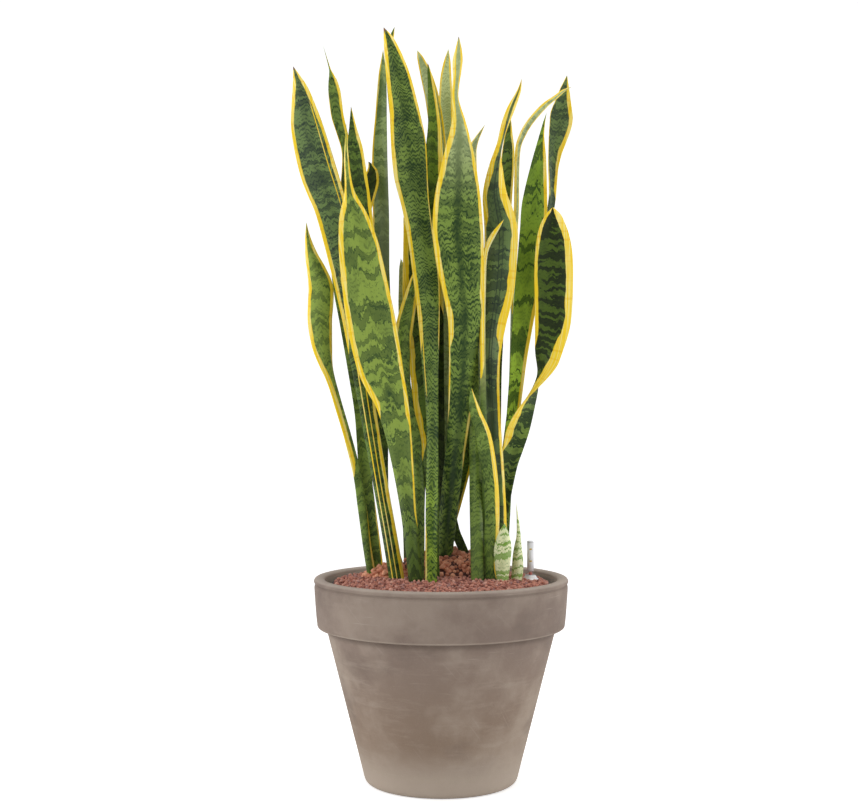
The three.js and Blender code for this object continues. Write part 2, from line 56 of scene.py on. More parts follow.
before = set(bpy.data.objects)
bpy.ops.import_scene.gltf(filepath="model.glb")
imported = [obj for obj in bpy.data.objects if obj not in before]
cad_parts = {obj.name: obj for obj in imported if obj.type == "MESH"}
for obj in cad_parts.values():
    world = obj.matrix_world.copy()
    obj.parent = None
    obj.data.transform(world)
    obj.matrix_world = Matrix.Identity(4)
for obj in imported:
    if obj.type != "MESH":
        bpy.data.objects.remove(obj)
CAD_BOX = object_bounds()
MM = 0.001

BODY = "planter"
LEAF_NODES = [f"leaf_{number:02d}" for number in range(1, 28)]
PUP_NODES = ["pup_01", "pup_02"]
RHIZOME_NODES = [f"rhizome_{number}" for number in range(1, 8)]


def srgb(red, green, blue):
    """A colour given as it looks on a screen, 0 to 255, as the linear colour that shaders use."""
    channels = [c / 255 for c in (red, green, blue)]
    return tuple(c / 12.92 if c <= 0.04045 else ((c + 0.055) / 1.055) ** 2.4 for c in channels)


# Settings

def colour_setting(name, description, default):
    return bpy.props.FloatVectorProperty(name=name, description=description, subtype="COLOR",
                                         size=3, min=0, max=1, default=default)


def length_setting(name, description, default):
    return bpy.props.FloatProperty(name=name, description=description, default=default,
                                   min=0, subtype="DISTANCE", unit="LENGTH", precision=4)


class PlanterSettings(bpy.types.PropertyGroup):
    height: length_setting("Height", "Height of the planter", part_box("clay_pot")[1].z)
    rim_radius: length_setting("Rim radius", "Outer radius of the rim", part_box("clay_pot")[1].x)
    clay: colour_setting("Clay", "Main colour of the fired clay", srgb(141, 124, 113))
    warm_clay: colour_setting("Warm clay", "Colour of the clay low down", srgb(143, 123, 106))
    # Also the colour of the painted light on the foot and the painted highlight along the band's
    # foot
    bloom: colour_setting("Bloom", "Colour of the pale lime clouds", srgb(186, 171, 156))
    sides: bpy.props.IntProperty(name="Sides", description="Faces round the planter",
                                 default=144, min=24)


class BedSettings(bpy.types.PropertyGroup):
    granule: length_setting("Granule", "Size of the fine granules", 5.2 * MM)
    granule_gap: length_setting("Granule spacing", "Distance between fine granules", 4.4 * MM)
    pebble: length_setting("Pebble", "Size of the coarse pebbles", 8.2 * MM)
    pebble_gap: length_setting("Pebble spacing", "Distance between coarse pebbles", 5.6 * MM)
    granule_red: colour_setting("Granule red", "Main colour of the granules",
                                srgb(188, 122, 104))
    pebble_brown: colour_setting("Pebble brown", "Main colour of the pebbles", srgb(224, 152, 120))


class LeafSettings(bpy.types.PropertyGroup):
    ring: length_setting("Ring spacing", "Distance between rings of faces along a leaf", 6 * MM)
    around: bpy.props.IntProperty(name="Around", description="Faces round a leaf", default=24,
                                  min=8)
    yellow: colour_setting("Yellow", "Full colour of the leaf margins", srgb(253, 216, 40))
    cream: colour_setting("Cream", "Pale colour in the leaf margins", srgb(255, 236, 138))
    ripple: length_setting("Ripple", "How far the margins wave", 1.2 * MM)


class GaugeSettings(bpy.types.PropertyGroup):
    clear: colour_setting("Clear plastic", "Tint of the clear plastic", srgb(250, 250, 252))
    red: colour_setting("Marker", "Colour of the float's marker", srgb(196, 44, 26))
    mark: colour_setting("Marks", "Colour of the level marks", srgb(222, 190, 84))


class StageSettings(bpy.types.PropertyGroup):
    floor: colour_setting("Floor", "Colour of the floor", srgb(246, 246, 246))
    key: bpy.props.FloatProperty(name="Key light", description="Power of the main softbox",
                                 default=25, min=0, unit="POWER")
    fill: bpy.props.FloatProperty(name="Fill light", description="Power of the second softbox",
                                  default=12, min=0, unit="POWER")
    sides: bpy.props.FloatProperty(name="Side lights", description="Power of each side softbox",
                                   default=20, min=0, unit="POWER")
    top: bpy.props.FloatProperty(name="Top light", description="Power of the softbox overhead",
                                 default=24, min=0, unit="POWER")
    sky: bpy.props.FloatProperty(name="Ambient", description="Strength of the ambient light",
                                 default=0.41, min=0)


# Shader nodes

class Term:
    """A value that a node gives. Arithmetic on it adds the nodes that work out the result."""

    def __init__(self, socket):
        self.socket = socket

    def __add__(self, other):
        return calc("ADD", self, other)

    def __radd__(self, other):
        return calc("ADD", other, self)

    def __sub__(self, other):
        return calc("SUBTRACT", self, other)

    def __rsub__(self, other):
        return calc("SUBTRACT", other, self)

    def __mul__(self, other):
        return calc("MULTIPLY", self, other)

    def __truediv__(self, other):
        return calc("DIVIDE", self, other)

    def __rtruediv__(self, other):
        return calc("DIVIDE", other, self)

    def __abs__(self):
        return calc("ABSOLUTE", self)


def tree_of(*values):
    """The node tree of the first term among the values."""
    return next(value.socket.id_data for value in values if isinstance(value, Term))


def feed(socket, value):
    """Links a term to an input, or sets the input's own value."""
    if isinstance(value, Term):
        socket.id_data.links.new(value.socket, socket)
    elif hasattr(socket.default_value, "__len__") and len(socket.default_value) == 4:
        socket.default_value = (*value, 1)
    else:
        socket.default_value = value


def put(tree, kind, inputs=(), **values):
    """Adds a node with the values, and feeds its first inputs."""
    node = tree.nodes.new(kind)
    for name, value in values.items():
        setattr(node, name, value)
    for socket, value in zip(node.inputs, inputs):
        feed(socket, value)
    return node


def calc(operation, *terms, clamp=False):
    node = put(tree_of(*terms), "ShaderNodeMath", terms, operation=operation, use_clamp=clamp)
    return Term(node.outputs[0])


def blend(factor, first, second):
    """The first colour where the factor is 0, the second where it is 1."""
    node = put(tree_of(factor, first, second), "ShaderNodeMix", (factor,), data_type="RGBA")
    feed(node.inputs[6], first)
    feed(node.inputs[7], second)
    return Term(node.outputs[2])


def step(value, low, high, start=0.0, end=1.0):
    """A smooth rise from start to end as the value goes from low to high."""
    node = put(tree_of(value), "ShaderNodeMapRange", (value, low, high, start, end),
               interpolation_type="SMOOTHSTEP")
    return Term(node.outputs[0])


def vector(x, y, z):
    return Term(put(tree_of(x, y, z), "ShaderNodeCombineXYZ", (x, y, z)).outputs[0])


def split(place):
    """The three coordinates of a place."""
    return map(Term, put(tree_of(place), "ShaderNodeSeparateXYZ", (place,)).outputs)


def cloud(place, scale, detail=2.0, roughness=0.5):
    """Soft noise between 0 and 1."""
    node = put(tree_of(place), "ShaderNodeTexNoise")
    for name, value in (("Vector", place), ("Scale", scale), ("Detail", detail),
                        ("Roughness", roughness)):
        feed(node.inputs[name], value)
    return Term(node.outputs[0])


def stretched(place, scale):
    node = put(tree_of(place), "ShaderNodeMapping", (place,))
    feed(node.inputs["Scale"], scale)
    return Term(node.outputs[0])


def ramp(value, stops):
    node = put(tree_of(value), "ShaderNodeValToRGB", (value,))
    line = node.color_ramp
    while len(line.elements) < len(stops):
        line.elements.new(0.5)
    for element, (place, colour) in zip(line.elements, stops):
        element.position = place
        element.color = (*colour, 1)
    return Term(node.outputs[0])


def attribute(tree, name):
    return Term(put(tree, "ShaderNodeAttribute", attribute_name=name).outputs["Fac"])


def object_place(tree):
    return Term(put(tree, "ShaderNodeTexCoord").outputs["Object"])


def new_group(name, inputs, outputs):
    """A shader node group with inputs and outputs named by kind. Returns it and its sockets."""
    group = bpy.data.node_groups.new(name, "ShaderNodeTree")
    kinds = {"value": "NodeSocketFloat", "colour": "NodeSocketColor", "vector": "NodeSocketVector"}
    for side, sockets in (("INPUT", inputs), ("OUTPUT", outputs)):
        for kind, labels in sockets.items():
            for label in labels:
                group.interface.new_socket(label, in_out=side, socket_type=kinds[kind])
    taken = {socket.name: Term(socket) for socket in put(group, "NodeGroupInput").outputs}
    return group, taken, put(group, "NodeGroupOutput").inputs


def use_group(tree, group, **values):
    """Adds the group with the values on its inputs. Returns its outputs by name."""
    node = put(tree, "ShaderNodeGroup", node_tree=group)
    for label, value in values.items():
        feed(node.inputs[label.replace("_", " ").capitalize()], value)
    return {socket.name: Term(socket) for socket in node.outputs}


def new_material(name):
    material = bpy.data.materials.new(name)
    material.use_nodes = True
    shader = material.node_tree.nodes["Principled BSDF"]
    return material, material.node_tree, shader


def paint(shader, colour, roughness):
    feed(shader.inputs["Base Color"], colour)
    feed(shader.inputs["Roughness"], roughness)


def bump(shader, height, strength, distance):
    node = put(tree_of(height), "ShaderNodeBump")
    for name, value in (("Height", height), ("Strength", strength), ("Distance", distance)):
        feed(node.inputs[name], value)
    feed(shader.inputs["Normal"], Term(node.outputs[0]))


# Shared effects: inside them lengths are in mm, so that pitches and widths are plain sizes

def banding_group():
    """Jagged dark cross bands and fine wavy cross lines of a leaf, over its green ground."""
    group, taken, given = new_group(
        "leaf banding",
        {"value": ["Across", "Reach", "Half width", "Shift", "Bands", "Band pitch", "Waves",
                   "Wave pitch", "Thin", "Jag", "Crest", "Centre", "Fill", "Cover"],
         "colour": ["Light", "Dark"]},
        {"colour": ["Color"], "value": ["Height"]})
    light, dark, shift = taken["Light"], taken["Dark"], taken["Shift"]
    side = taken["Across"] * taken["Half width"] * 1000.0
    along = taken["Reach"] * 1000.0
    from_middle = abs(side)

    def field(across_scale, along_scale, detail, spread):
        """Noise about 0, stretched along or across the blade."""
        place = vector(side * across_scale, along * along_scale, shift)
        return (cloud(place, 1.0, detail, 0.6) - 0.5) * spread

    rough = field(0.22, 0.22, 3.0, 1.0)
    slow = field(0.05, 0.018, 2.0, 1.0)
    streak = field(1.1, 0.02, 2.0, 1.0)
    place = along + field(0.27, 0.015, 2.0, 5.0) * taken["Jag"]
    place = place + field(0.07, 0.02, 1.0, 22.0)
    place = place + calc("MINIMUM", from_middle, 8.0) * taken["Crest"]

    # Bands: a weaker inside between two strong borders
    level = cloud(vector(side * 0.01, place / taken["Band pitch"], shift), 1.0, 1.0)
    level = level + rough * 0.16 - 0.5 + taken["Cover"]
    inner = step(level, -0.01, 0.05) * taken["Fill"]
    border = step(abs(level - 0.03), 0.006, 0.034, 1.0, 0.0)
    strong = calc("MAXIMUM", inner, border) * taken["Bands"]

    # Fine waves
    turn = place * math.tau / taken["Wave pitch"] + field(0.10, 0.05, 1.0, 14.0)
    wave = calc("SINE", turn) + rough * 5.0 + slow * 3.0
    fine = step(wave - taken["Thin"], -0.25, 0.5) * taken["Waves"]
    mask = calc("ADD", calc("MAXIMUM", strong, fine), calc("MINIMUM", strong, fine) * 0.4,
                clamp=True)

    # Ground, darker in streaks, in slow patches and along the middle
    middle = blend(0.5, light, dark)
    ground = blend(step(streak, -0.2, 0.2, 0.0, 0.22), light, middle)
    ground = blend(step(slow, -0.04, 0.16, 0.0, 0.6), ground, middle)
    core = step(from_middle, 1.0, 9.0, 1.0, 0.0) * taken["Centre"]
    ground = blend(core * step(slow, -0.15, 0.1, 0.6, 1.0), ground, dark)
    feed(given["Color"], blend(mask, ground, dark))
    feed(given["Height"], streak - mask * 0.15)
    return group


def margin_group():
    """The yellow margin of a leaf, of uneven width."""
    group, taken, given = new_group(
        "leaf margin",
        {"value": ["Across", "Reach", "Half width", "Margin", "Shift"],
         "colour": ["Yellow", "Cream"]},
        {"value": ["Mask"], "colour": ["Color"]})
    shift = taken["Shift"]
    half = taken["Half width"] * 1000.0
    inside = (1.0 - abs(taken["Across"])) * half
    along = taken["Reach"] * 1000.0
    side = calc("SIGN", taken["Across"])
    slow = cloud(vector(along * 0.022, side * 3.0, shift), 1.0, 2.0)
    quick = cloud(vector(along * 0.16, side * 5.0, shift), 1.0, 1.0)
    width = taken["Margin"] * 1000.0 * (0.55 + slow * 0.9) + (quick - 0.5)
    feed(given["Mask"], step(width - inside, -0.35, 0.35) * step(taken["Margin"], 0.0, 0.0004))
    tint = cloud(vector(taken["Across"] * half, along * 0.02, shift), 0.6, 2.0)
    base = blend(step(tint, 0.45, 0.64), taken["Yellow"], taken["Cream"])
    feed(given["Color"], blend(step(quick, 0.28, 0.46, 0.55, 0.0), base, srgb(244, 192, 16)))
    return group


def line_group():
    """One thin line along a leaf, between two heights."""
    group, taken, given = new_group(
        "leaf line",
        {"value": ["Across", "Half width", "Height", "Place", "Width", "Start", "End"]},
        {"value": ["Mask"]})
    away = abs(taken["Across"] - taken["Place"])
    inside = taken["Width"] * 500.0 - away * (taken["Half width"] * 1000.0)
    low = step(taken["Height"] - taken["Start"], 0.0, 0.02)
    high = step(taken["End"] - taken["Height"], 0.0, 0.02)
    feed(given["Mask"], step(inside, -0.3, 0.3) * low * high)
    return group


def grain_group():
    """Pitted and mottled skin of clay and stone: a colour and a height."""
    group, taken, given = new_group(
        "mineral grain",
        {"vector": ["Place"], "value": ["Size", "Contrast"], "colour": ["Base"]},
        {"colour": ["Color"], "value": ["Height"]})
    scale = 1.0 / taken["Size"]
    fine = cloud(taken["Place"], scale, 3.0, 0.6)
    broad = cloud(taken["Place"], scale * 0.12, 2.0)
    spread = (fine * 0.6 + broad * 0.4 - 0.5) * taken["Contrast"]
    lighter = blend(calc("MULTIPLY", spread, 2.0, clamp=True), taken["Base"], (0.8, 0.74, 0.68))
    feed(given["Color"], blend(calc("MULTIPLY", spread, -2.0, clamp=True), lighter,
                               (0.02, 0.016, 0.014)))
    feed(given["Height"], fine)
    return group


GROUPS = {}


def shared(maker):
    """The group that a function makes, made once."""
    if maker not in GROUPS:
        GROUPS[maker] = maker()
    return GROUPS[maker]


# Pieces

def added(name, mesh, material):
    """Puts a finished mesh in the scene with smooth faces."""
    data = bpy.data.meshes.new(name)
    for face in mesh.faces:
        face.smooth = True
    mesh.to_mesh(data)
    mesh.free()
    made = bpy.data.objects.new(name, data)
    bpy.context.scene.collection.objects.link(made)
    data.materials.append(material)
    return made


def piece(name, mesh, material, slot, replaced=(), body=BODY):
    """Makes a finished mesh a named piece that rides on a body."""
    made = added(name, mesh, material)
    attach(made, body)
    if replaced:
        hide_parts(*replaced)


def dress(node, material):
    """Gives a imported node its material."""
    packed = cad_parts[node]
    if not packed.material_slots:
        packed.data.materials.append(material)
    for slot in packed.material_slots:
        slot.material = material


def turned(profile, steps, centre=(0, 0)):
    """A closed shell turned about an upright axis from [radius, height] points in mm."""
    mesh = bmesh.new()
    points = [mesh.verts.new((radius * MM, 0, height * MM)) for radius, height in profile]
    rails = [mesh.edges.new(pair) for pair in zip(points, points[1:])]
    bmesh.ops.spin(mesh, geom=points + rails, axis=(0, 0, 1), cent=(0, 0, 0), dvec=(0, 0, 0),
                   angle=math.tau, steps=steps, use_merge=True, use_duplicate=False)
    bmesh.ops.remove_doubles(mesh, verts=mesh.verts, dist=0.00001)
    bmesh.ops.recalc_face_normals(mesh, faces=mesh.faces)
    bmesh.ops.translate(mesh, verts=mesh.verts, vec=(centre[0] * MM, centre[1] * MM, 0))
    return mesh


def rounded(profile, cuts):
    """The profile with each corner rounded by cutting it a few times."""
    for _ in range(cuts):
        cut = [profile[0]]
        for (r0, z0), (r1, z1) in zip(profile, profile[1:]):
            cut.append((0.75 * r0 + 0.25 * r1, 0.75 * z0 + 0.25 * z1))
            cut.append((0.25 * r0 + 0.75 * r1, 0.25 * z0 + 0.75 * z1))
        cut.append(profile[-1])
        profile = cut
    return profile


# Planter

def clay_material(settings):
    material, tree, shader = new_material("fired clay")
    place = object_place(tree)
    x, y, z = split(place)
    bloom = tuple(settings.bloom)
    brown = srgb(112, 97, 88)
    shadow = srgb(98, 84, 74)
    bead_groove = 0.2962
    band_foot = 0.2325
    clouds = cloud(place, 7.0, 5.0, 0.62)
    # Painted light: paler towards the left and right sides
    beside = step(abs(x), 0.03, 0.17, 0.0, 0.09)
    smoke = cloud(stretched(place, (6, 6, 10)), 1.0, 4.0, 0.6)
    wiped = cloud(stretched(place, (11, 11, 70)), 1.0, 5.0, 0.7)
    radius = calc("SQRT", x * x + y * y)
    turn = calc("ARCTAN2", y, x)
    slanted = turn * 0.18 + z
    hairs = cloud(vector(slanted * 260.0, turn * 3.0, z), 1.0, 2.0, 0.5)
    scratch = cloud(stretched(place, (16, 16, 420)), 1.0, 2.0, 0.5)
    base = blend(step(z, 0.06, 0.25), tuple(settings.warm_clay), tuple(settings.clay))
    for mask, colour in (
            # Pale lime clouds, with painted light added towards the left and right sides, and
            # smoky patches
            (step(clouds + beside, 0.46, 0.7, 0.0, 0.5), bloom),
            (step(smoke, 0.5, 0.66, 0.0, 0.4), brown),
            # Level streaks, weaker on the band
            (step(wiped, 0.5, 0.75, 0.0, step(z, 0.2, 0.225, 0.28, 0.15)), bloom),
            # Painted light on the foot, a painted highlight along the lip and painted shade in the
            # groove below the bead
            (step(z, 0.01, 0.085, 1.0, 0.0), bloom),
            (step(z, 0.301, 0.3045, 0.0, 0.6), srgb(202, 188, 176)),
            (step(abs(z - bead_groove), 0.0006, 0.0024, 0.3, 0.0), shadow),
            # Darker band, and painted light that brightens the shaded inside wall
            (step(z, 0.2305, 0.236, 0.0, 0.22), brown),
            (step(radius, 0.1712, 0.173, 0.8, 0.0) * step(z, 0.24, 0.25), srgb(206, 192, 180)),
            # Painted highlight along the band's foot, and painted shadow below it
            (step(abs(z - band_foot), 0.0008, 0.0022, 0.35, 0.0), bloom),
            (step(z, 0.219, 0.2295, 0.0, 0.55) * step(z, 0.2305, 0.2312, 1.0, 0.0), shadow),
            # Slanted hair lines and level scratches
            (step(hairs, 0.66, 0.76, 0.0, 0.14), srgb(190, 178, 166)),
            (step(scratch, 0.68, 0.80, 0.0, 0.3), srgb(196, 184, 170))):
        base = blend(mask, base, colour)
    grain = use_group(tree, shared(grain_group), place=place, size=0.0016, base=base,
                      contrast=0.10)
    paint(shader, grain["Color"], step(clouds, 0.3, 0.7, 0.74, 0.9))
    shader.inputs["Specular IOR Level"].default_value = 0.3
    bump(shader, grain["Height"] + wiped * 0.8, 0.35, 0.0006)
    return material


def plastic_material(name, colour, roughness=0.5):
    """Moulded plastic with a faint texture."""
    material, tree, shader = new_material(name)
    place = object_place(tree)
    wear = cloud(place, 30.0, 3.0)
    worn = tuple(min(1.0, c * 1.6 + 0.02) for c in colour)
    paint(shader, blend(step(wear, 0.4, 0.7, 0.0, 0.25), colour, worn),
          step(wear, 0.3, 0.7, roughness - 0.08, roughness + 0.08))
    bump(shader, cloud(place, 900.0, 1.0), 0.15, 0.0002)
    return material


class SNAKEPLANT_OT_planter(bpy.types.Operator):
    """Makes the clay planter with its rounded rim and the black liner in it"""
    bl_idname = "snakeplant.planter"
    bl_label = "Planter and liner"

    def execute(self, context):
        settings = context.scene.snakeplant_planter
        top = settings.height / MM
        rim = settings.rim_radius / MM
        outside = rounded([
            (0, 0), (90, 0), (104, 0), (110.5, 1.2), (114.5, 6), (117, 17), (143.5, 120),
            (170.5, 226), (171.8, 230.6), (174, 230.7), (181, 231), (184.6, 232.6), (185.4, 237),
            (187, 254), (189.4, 289), (189.3, 293), (187.7, 295.2), (187.9, 297), (rim, 298.6),
            (rim, 301.6), (188, top - 0.6), (183, top + 0.4), (177, top - 0.2),
            (172.6, 301.6), (171.6, 294), (169, 243), (165, 235), (159.5, 229), (132, 122),
            (105.5, 20), (99, 16.2), (60, 16), (0, 16)], 2)
        pot = turned(outside, settings.sides)
        piece("planter", pot, clay_material(settings), "clay", ["clay_pot"])
        black = plastic_material("black liner", srgb(30, 30, 31))
        liner = rounded([
            (0, 16.3), (94, 16.3), (100, 17), (102, 22), (156.8, 227), (157.9, 232), (162.6, 292),
            (163, 296), (161.4, 296.2), (160.3, 292), (155.5, 232), (154.2, 227), (99.5, 22),
            (97, 19), (92, 18.8), (0, 18.8)], 1)
        piece("inset_liner", turned(liner, settings.sides), black, "liner_plastic", ["liner"])
        return {"FINISHED"}


# Beds

# Heaps of pebbles in mm: middle x, y, z, half length along x and y, and how tall
LOBES = [(14, 34, 292, 92, 58, 50), (-78, 16, 292, 44, 48, 30)]
# Top of the granules in mm: radius and height
BED_TOP = [(0, 306), (60, 306), (105, 305), (125, 301.5), (150, 299), (161, 297.5)]
GAUGE_PLACE = (134.5, 5)
GAUGE_RADIUS = 13.5


def mound_height(x, y):
    """Top of the heap of coarse pebbles at a place in mm, or 0 beside it."""
    top = 0
    for cx, cy, cz, along_x, along_y, tall in LOBES:
        inside = 1 - ((x - cx) / along_x) ** 2 - ((y - cy) / along_y) ** 2
        if inside > 0:
            top = max(top, cz + tall * math.sqrt(inside))
    return top


def bed_height(x, y):
    """Top of the fine granules at a place in mm."""
    radius = math.hypot(x, y)
    for (r0, z0), (r1, z1) in zip(BED_TOP, BED_TOP[1:]):
        if radius <= r1:
            return z0 + (z1 - z0) * (radius - r0) / (r1 - r0)
    return BED_TOP[-1][1]


def stone_spots(spacing, limit, lift, wanted, draw):
    """Jittered places in mm on the bed where a stone is wanted: x, y, z."""
    spots = []
    for row in range(int(2 * limit / (spacing * 0.87)) + 1):
        y = -limit + row * spacing * 0.87
        for column in range(int(2 * limit / spacing) + 1):
            x = -limit + (column + 0.5 * (row % 2)) * spacing
            px = x + draw.uniform(-0.35, 0.35) * spacing
            py = y + draw.uniform(-0.35, 0.35) * spacing
            if math.hypot(px, py) > limit:
                continue
            height = wanted(px, py)
            if height is not None:
                spots.append((px, py, height + lift + draw.uniform(-0.2, 0.2) * spacing))
    return spots


def scattered(stone, spots, size, draw, flatness=0.75):
    """One mesh with a turned and squeezed copy of the stone at each spot."""
    points = len(stone.verts)
    while len(stone.verts) < points * len(spots):
        whole = list(stone.verts) + list(stone.edges) + list(stone.faces)
        bmesh.ops.duplicate(stone, geom=whole)
    stone.verts.ensure_lookup_table()
    bmesh.ops.delete(stone, geom=stone.verts[points * len(spots):], context="VERTS")
    stone.verts.ensure_lookup_table()
    tone = stone.verts.layers.float.new("tone")
    for index, (x, y, z) in enumerate(spots):
        axis = Vector((draw.gauss(0, 1), draw.gauss(0, 1), draw.gauss(0, 1)))
        turn = axis.to_track_quat("Z", "Y")
        long = draw.uniform(0.8, 1.35)
        scale = size * MM * draw.uniform(0.75, 1.15) / 2
        shade = draw.random()
        centre = Vector((x, y, z)) * MM
        for vert in stone.verts[index * points:(index + 1) * points]:
            bend = 1 + 0.22 * (draw.random() - 0.5)
            local = Vector((vert.co.x * long, vert.co.y, vert.co.z * flatness)) * bend
            vert.co = centre + (turn @ local) * scale
            vert[tone] = shade
    return stone


def granule_stone():
    mesh = bmesh.new()
    bmesh.ops.create_icosphere(mesh, subdivisions=1, radius=1)
    return mesh


def pebble_stone():
    mesh = bmesh.new()
    bmesh.ops.create_cube(mesh, size=1.2)
    bmesh.ops.subdivide_edges(mesh, edges=mesh.edges, cuts=1, use_grid_fill=True)
    for vert in mesh.verts:
        vert.co = vert.co.normalized()
    return mesh


def stone_material(name, stops, contrast, size):
    """Rough fired clay, with a tone of its own on each stone."""
    material, tree, shader = new_material(name)
    tone = ramp(attribute(tree, "tone"), stops)
    grain = use_group(tree, shared(grain_group), place=object_place(tree), size=size, base=tone,
                      contrast=contrast)
    paint(shader, grain["Color"], step(grain["Height"], 0.3, 0.7, 0.7, 0.95))
    bump(shader, grain["Height"], 0.6, 0.0006)
    return material


class SNAKEPLANT_OT_beds(bpy.types.Operator):
    """Heaps the coarse pebbles and strews the fine granules round the leaves"""
    bl_idname = "snakeplant.beds"
    bl_label = "Pebbles and granules"

    def execute(self, context):
        settings = context.scene.snakeplant_beds
        draw = random.Random(11)
        bed_level = 0.303
        feet = [foot_at(leaf_rings(name), bed_level) for name in LEAF_NODES + PUP_NODES]

        def clear(x, y, room):
            if math.hypot(x - GAUGE_PLACE[0], y - GAUGE_PLACE[1]) < GAUGE_RADIUS + room:
                return False
            return not any(within(foot, x, y, room) for foot in feet)

        def fine(x, y):
            top = bed_height(x, y)
            if mound_height(x, y) > top + 1 or not clear(x, y, 0.6):
                return None
            return top

        def coarse(x, y):
            top = mound_height(x, y)
            if top < bed_height(x, y) - 3 or not clear(x, y, 2.0):
                return None
            return top

        # A full layer of stones sunk into the bed, and a sparse one lying on it
        gap = settings.granule_gap / MM
        spots = stone_spots(gap, 160.5, -1.8, fine, draw)
        spots += stone_spots(gap * 1.6, 155, 0.4, fine, draw)
        stops = [(0.0, srgb(128, 76, 66)), (0.3, tuple(settings.granule_red)),
                 (0.72, srgb(208, 144, 124)), (0.86, srgb(150, 112, 110)),
                 (1.0, srgb(232, 176, 154))]
        granules = scattered(granule_stone(), spots, settings.granule / MM, draw)
        piece("granules", granules, stone_material("clay granules", stops, 0.3, 0.0012),
              "granules", ["granule_bed"])
        gap = settings.pebble_gap / MM
        spots = stone_spots(gap, 118, -3.5, coarse, draw)
        spots += stone_spots(gap * 1.5, 116, 0, coarse, draw)
        stops = [(0.0, srgb(190, 122, 94)), (0.5, tuple(settings.pebble_brown)),
                 (1.0, srgb(240, 178, 142))]
        pebbles = scattered(pebble_stone(), spots, settings.pebble / MM, draw, 0.8)
        piece("pebbles", pebbles, stone_material("clay pebbles", stops, 0.2, 0.002), "pebbles")
        # Painted shade: a dark fill of the same clay below the granules, showing in the gaps
        # between them
        dark = srgb(84, 48, 38)
        soil = stone_material("packed pebbles in painted shade", [(0.0, dark), (1.0, dark)], 0.5, 0.004)
        core = turned(rounded([(0, 285.2), (157, 285.2), (158.5, 292), (150, 295), (125, 298),
                               (104, 301), (60, 302), (0, 302)], 1), 96)
        piece("granule_underlay", core, soil, "granules")
        for name in ("pebble_bed", "pebble_ring"):
            dress(name, soil)
        return {"FINISHED"}


# Leaves

# How much of a blade's hollow the four middle points of a packed ring take up
RING_HOLLOW = 0.2025


def leaf_rings(node):
    """The rings of a packed leaf from its foot to its tip, each with its centre, the unit
    vectors across and through the blade, its width, its hollow and its thickness."""
    mesh = bmesh.new()
    mesh.from_mesh(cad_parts[node].data)
    bmesh.ops.remove_doubles(mesh, verts=mesh.verts, dist=0.00002)
    tip = max(mesh.verts, key=lambda vert: vert.co.z)
    levels = [[tip]]
    seen = {tip}
    while True:
        ring = {edge.other_vert(vert) for vert in levels[-1] for edge in vert.link_edges} - seen
        if not ring:
            break
        seen |= ring
        levels.append(sorted(ring, key=lambda vert: vert.index))
    rings = [[vert.co.copy() for vert in ring] for ring in levels if len(ring) == 6]
    point = tip.co.copy()
    mesh.free()
    centres = [sum(ring, Vector()) / 6 for ring in rings]
    edges = []
    last = (Vector((1, 0, 0)) * 1000, Vector((-1, 0, 0)) * 1000)
    for ring in rings:
        pair = max(((a, b) for a in ring for b in ring), key=lambda two: (two[0] - two[1]).length)
        if (pair[0] - pair[1]).dot(last[0] - last[1]) < 0:
            pair = (pair[1], pair[0])
        edges.append(pair)
        last = pair
    made = []
    for index, (ring, (right, left)) in enumerate(zip(rings, edges)):
        mids = [co for co in ring if co not in (right, left)]
        up = centres[max(index - 1, 0)] - centres[min(index + 1, len(rings) - 1)]
        across = (right - left).normalized()
        through = up.cross(across).normalized()
        middle = sum(mids, Vector()) / 4
        hollow = ((right + left) / 2 - middle).dot(through) / (1 - RING_HOLLOW)
        centre = middle - through * RING_HOLLOW * hollow
        depths = sorted((co - middle).dot(through) for co in mids)
        thick = (depths[2] + depths[3] - depths[0] - depths[1]) / 2
        made.append((centre, across, through, (right - left).length, hollow, thick))
    _, across, through, *_ = made[0]
    made.insert(0, (point, across, through, 0.0, 0.0, 0.0))
    return made[::-1]


def foot_at(rings, height):
    """The section of a leaf at a height in metres: its middle, direction, half width and depth."""
    for low, high in zip(rings, rings[1:]):
        if low[0].z <= height <= high[0].z:
            part = (height - low[0].z) / (high[0].z - low[0].z)
            middle = low[0].lerp(high[0], part)
            width = low[3] + (high[3] - low[3]) * part
            return middle / MM, low[1], low[2], width / MM / 2, low[5] / MM / 2
    return Vector((0, 0, 0)), Vector((1, 0, 0)), Vector((0, 1, 0)), 0, 0


def within(foot, x, y, room):
    """Whether a place in mm is in the section of a leaf, or nearer to it than the room."""
    middle, across, through, half, deep = foot
    away = Vector((x, y, middle.z)) - middle
    return abs(away.dot(across)) < half + room and abs(away.dot(through)) < deep + 1 + room


def smooth_between(rows, place):
    """A row of numbers at a place along the rows, on a smooth curve through them."""
    index = min(int(place), len(rows) - 2)
    part = place - index
    before = rows[max(index - 1, 0)]
    after = rows[min(index + 2, len(rows) - 1)]
    return [0.5 * (2 * q + (r - p) * part + (2 * p - 5 * q + 4 * r - s) * part ** 2
                   + (3 * q - p - 3 * r + s) * part ** 3)
            for p, q, r, s in zip(before, rows[index], rows[index + 1], after)]


def leaf_sections(rings, spacing):
    """Evenly spaced sections of a leaf, as rows of numbers, each with its reach from the foot."""
    rows = [[*centre, *across, *through, width, hollow, thick]
            for centre, across, through, width, hollow, thick in rings]
    places = [0.0]
    for index in range(len(rings) - 1):
        length = (rings[index + 1][0] - rings[index][0]).length
        cuts = max(1, round(length / spacing))
        places += [index + (cut + 1) / cuts for cut in range(cuts)]
    sections = []
    reach = 0.0
    for place in places:
        row = smooth_between(rows, place)
        if sections:
            reach += (Vector(row[:3]) - Vector(sections[-1][0])).length
        sections.append((Vector(row[:3]), Vector(row[3:6]).normalized(),
                         Vector(row[6:9]).normalized(), max(row[9], 0.0), row[10],
                         max(row[11], 0.0), reach))
    return sections


